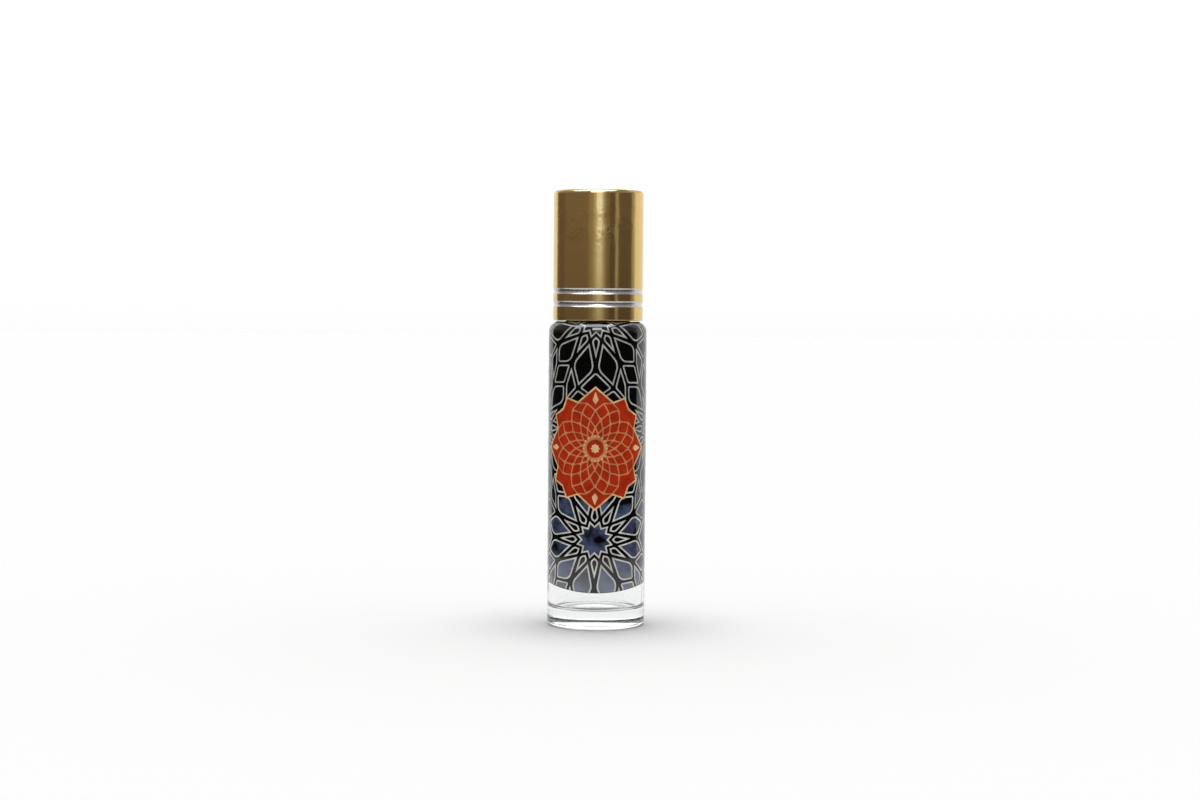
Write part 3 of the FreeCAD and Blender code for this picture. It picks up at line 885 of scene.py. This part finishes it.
navy_with_painted_light = add(tree, "ShaderNodeMix", {0: painted_light_share, 6: ground, 7: linear("#A2A8B2")}, data_type="RGBA").outputs[2]
grain = add(tree, "ShaderNodeTexNoise", {"Vector": place, "Scale": 1 / NAVY_GRAIN}).outputs[0]
relief = add(tree, "ShaderNodeBump", {"Height": grain, "Distance": NAVY_RELIEF}).outputs[0]
gloss = add(
    tree,
    "ShaderNodeBsdfPrincipled",
    {"Base Color": navy_with_painted_light, "Roughness": NAVY_ROUGHNESS, "Normal": relief, "IOR": FILM_IOR},
)
add(tree, "ShaderNodeOutputMaterial", {"Surface": gloss.outputs[0]})
navy.data.materials.clear()
navy.data.materials.append(navy_ink)
print(f"navy below {NAVY_FROM / MM:.0f} mm")

# %% [markdown]
# ## Inks
# Silver, copper, gold and red were printed on the film one after another, and the silver is laid on more
# thickly and brightly over the navy of the lowest row. Screen ink dries slightly uneven, so each ink wavers
# between a dark and a light tone, and its surface has a fine grain. The silver and gold give the eye pale
# lines that don't glare, and the copper and red give it a warm middle that stands off the black.

# %% Mix the inks
INK_MOTTLE = 1.5 * MM
INK_GRAIN, INK_RELIEF = 0.2 * MM, 0.004 * MM
INKS = {  # dark tone, light tone, metallic, roughness, specular
    "silver_ink": ("#8A8B84", "#BEBEB6", 0.15, 0.36, 0.5),
    "bright_silver_ink": ("#ACADA6", "#DEDED8", 0.15, 0.36, 0.5),
    "copper_ink": ("#A8663A", "#D09058", 0.15, 0.36, 0.3),
    "gold_ink": ("#C79A5C", "#EBCD8B", 0.15, 0.34, 0.5),
    "red_ink": ("#911F00", "#B32A04", 0.0, 0.24, 0.15),
}
inks = {}
for ink_name, (dark, light, metallic, roughness, specular) in INKS.items():
    inks[ink_name] = empty_material(ink_name)
    tree = inks[ink_name].node_tree
    place = add(tree, "ShaderNodeTexCoord").outputs["Object"]
    mottle = add(
        tree, "ShaderNodeTexNoise", {"Vector": place, "Scale": 1 / INK_MOTTLE, "Detail": 4.0}
    ).outputs[0]
    spread = add(tree, "ShaderNodeMapRange", {"Value": mottle, "From Min": 0.3, "From Max": 0.7}).outputs[0]
    tone = add(
        tree, "ShaderNodeMix", {0: spread, 6: linear(dark), 7: linear(light)}, data_type="RGBA"
    ).outputs[2]
    grain = add(tree, "ShaderNodeTexNoise", {"Vector": place, "Scale": 1 / INK_GRAIN}).outputs[0]
    relief = add(tree, "ShaderNodeBump", {"Height": grain, "Distance": INK_RELIEF}).outputs[0]
    layer = add(
        tree,
        "ShaderNodeBsdfPrincipled",
        {
            "Base Color": tone,
            "Metallic": metallic,
            "Roughness": roughness,
            "Normal": relief,
            "Specular IOR Level": specular,
        },
    )
    add(tree, "ShaderNodeOutputMaterial", {"Surface": layer.outputs[0]})
printed = {
    "bright_silver_ink": strapwork[:1],
    "silver_ink": strapwork[1:],
    "copper_ink": [plate],
    "red_ink": [red],
    "gold_ink": [ornaments, edge_line],
}
for ink_name, pieces in printed.items():
    for piece in pieces:
        piece.data.materials.clear()
        piece.data.materials.append(inks[ink_name])
print("inks on", sum(len(pieces) for pieces in printed.values()), "pieces")

# %% [markdown]
# ## Flint glass
# The bottle is clear moulded glass, thick at the base, where the film leaves it bare. Moulded glass is
# never quite even, so a long shallow noise bends what is seen through it. Light from the sky has to pass
# through glass to reach the floor behind it, and tracing that is slow and grainy. So for such light the
# glass counts as a plain filter, which takes away the light that the bent rays would have carried
# elsewhere.

# %% Finish the glass
GLASS_WAVE, GLASS_WAVE_DEPTH = 7 * MM, 0.05 * MM
GLASS_ROUGHEST = 0.03
GLASS_IOR = 1.52
glass = empty_material("flint_glass")  # gives the eye a bright, clear base with a few dark lines
tree = glass.node_tree
place = add(tree, "ShaderNodeTexCoord").outputs["Object"]
wave = add(tree, "ShaderNodeTexNoise", {"Vector": place, "Scale": 1 / GLASS_WAVE, "Detail": 1.0}).outputs[0]
skin = add(tree, "ShaderNodeMapRange", {"Value": wave, "To Max": GLASS_ROUGHEST}).outputs[0]
bend = add(tree, "ShaderNodeBump", {"Height": wave, "Distance": GLASS_WAVE_DEPTH}).outputs[0]
clear = add(
    tree,
    "ShaderNodeBsdfPrincipled",
    {
        "Base Color": linear("#FDFEFE"),
        "Roughness": skin,
        "Normal": bend,
        "IOR": GLASS_IOR,
        "Transmission Weight": 1.0,
    },
).outputs[0]
lit_through = add(tree, "ShaderNodeBsdfTransparent", {"Color": linear("#8A8C8B")}).outputs[0]
ray = add(tree, "ShaderNodeLightPath").outputs["Is Shadow Ray"]
either = add(tree, "ShaderNodeMixShader", {0: ray, 1: clear, 2: lit_through})
add(tree, "ShaderNodeOutputMaterial", {"Surface": either.outputs[0]})
coat_node("glass_bottle", glass)
print(f"glass waves {GLASS_WAVE / MM:.0f} mm long")

# %% [markdown]
# ## Steel ball and moulded plastics
# The ball is ground and polished stainless steel, with the faintest swirl left by the polishing. The
# housing and the seal are natural polyethylene, milky and waxy, and the inner cap is harder polypropylene
# with the grain of its mould. They show once the cap is off: the ball gives the eye one bright mirror among
# dull, milky plastics. One loop makes all four finishes, as they differ only in numbers.

# %% Finish the inside pieces
CLOUD = 8  # the tone wavers over so many grains
FINISHES = {  # node: finish, dark tone, light tone, metallic, least and most roughness, grain, its depth
    "roller_ball": ("stainless_steel", "#BFC0C3", "#D2D3D5", 1.0, 0.05, 0.12, 0.8 * MM, 0.0008 * MM),
    "roller_housing": ("natural_polyethylene", "#DADCD7", "#E9EAE6", 0.0, 0.36, 0.48, 0.5 * MM, 0.008 * MM),
    "inner_cap": ("moulded_polypropylene", "#D2D2CC", "#E0E0DB", 0.0, 0.44, 0.56, 0.35 * MM, 0.012 * MM),
    "ball_seal": ("soft_polyethylene", "#E2E2DC", "#EFEFEA", 0.0, 0.50, 0.60, 0.6 * MM, 0.010 * MM),
}
for node_name, (finish_name, dark, light, metallic, smooth, rough, grain, relief) in FINISHES.items():
    finish = empty_material(finish_name)
    tree = finish.node_tree
    place = add(tree, "ShaderNodeTexCoord").outputs["Object"]
    cloud = add(
        tree, "ShaderNodeTexNoise", {"Vector": place, "Scale": 1 / (CLOUD * grain), "Detail": 2.0}
    ).outputs[0]
    tone = add(
        tree, "ShaderNodeMix", {0: cloud, 6: linear(dark), 7: linear(light)}, data_type="RGBA"
    ).outputs[2]
    bumps = add(tree, "ShaderNodeTexNoise", {"Vector": place, "Scale": 1 / grain, "Detail": 3.0}).outputs[0]
    wear = add(tree, "ShaderNodeMapRange", {"Value": bumps, "To Min": smooth, "To Max": rough}).outputs[0]
    skin = add(tree, "ShaderNodeBump", {"Height": bumps, "Distance": relief}).outputs[0]
    body = add(
        tree,
        "ShaderNodeBsdfPrincipled",
        {"Base Color": tone, "Metallic": metallic, "Roughness": wear, "Normal": skin},
    )
    add(tree, "ShaderNodeOutputMaterial", {"Surface": body.outputs[0]})
    coat_node(node_name, finish)
    print(f"{node_name}: {finish_name}")

# %% [markdown]
# ## Leaving edit mode
# Last, edit mode is left and nothing stays selected.

# %% Leave edit mode
rest_all()
